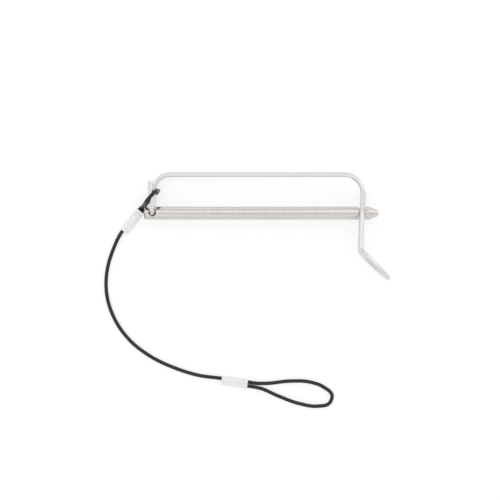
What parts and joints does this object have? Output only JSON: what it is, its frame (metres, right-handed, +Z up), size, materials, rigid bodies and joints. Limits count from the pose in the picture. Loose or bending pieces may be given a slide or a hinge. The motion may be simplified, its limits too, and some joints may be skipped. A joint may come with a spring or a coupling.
{
  "type": "splitboard slider pin",
  "caption": "Straight steel lock pin with a hinged spring-wire bail that latches on a groove near its nose, a finger ring, and a black coated cable tether with crimped eye and loop.",
  "frame": {"origin": "on the surface that the part lies on, under the middle of the pin's and the bail's outline seen from above", "axes": "+X along the pin, from its hinge to its nose; +Y from the pin towards the bail's long side; +Z up, away from the surface"},
  "size_m": [0.1379, 0.1144, 0.0205],
  "materials": {
    "pin": "ground stainless steel, satin, with lathe marks round it",
    "wire": "bright drawn stainless spring wire",
    "cable": "black plastic coating over a steel cable, softly glossy",
    "sleeve": "bright crimped aluminium"
  },
  "bodies": {
    "bail": {"bail_wire": "wire", "tether_cable": "cable", "eye_sleeve": "sleeve", "loop_sleeve": "sleeve"},
    "pin": {"pin": "pin"}
  },
  "joints": [
    {"name": "pin_swing", "type": "hinge", "parent": "bail", "child": "pin", "pos_m": [-0.0549, 0.00617, 0.00846], "axis": [0, -0.0762, -0.9971], "range_deg": [0, 150]}
  ]
}
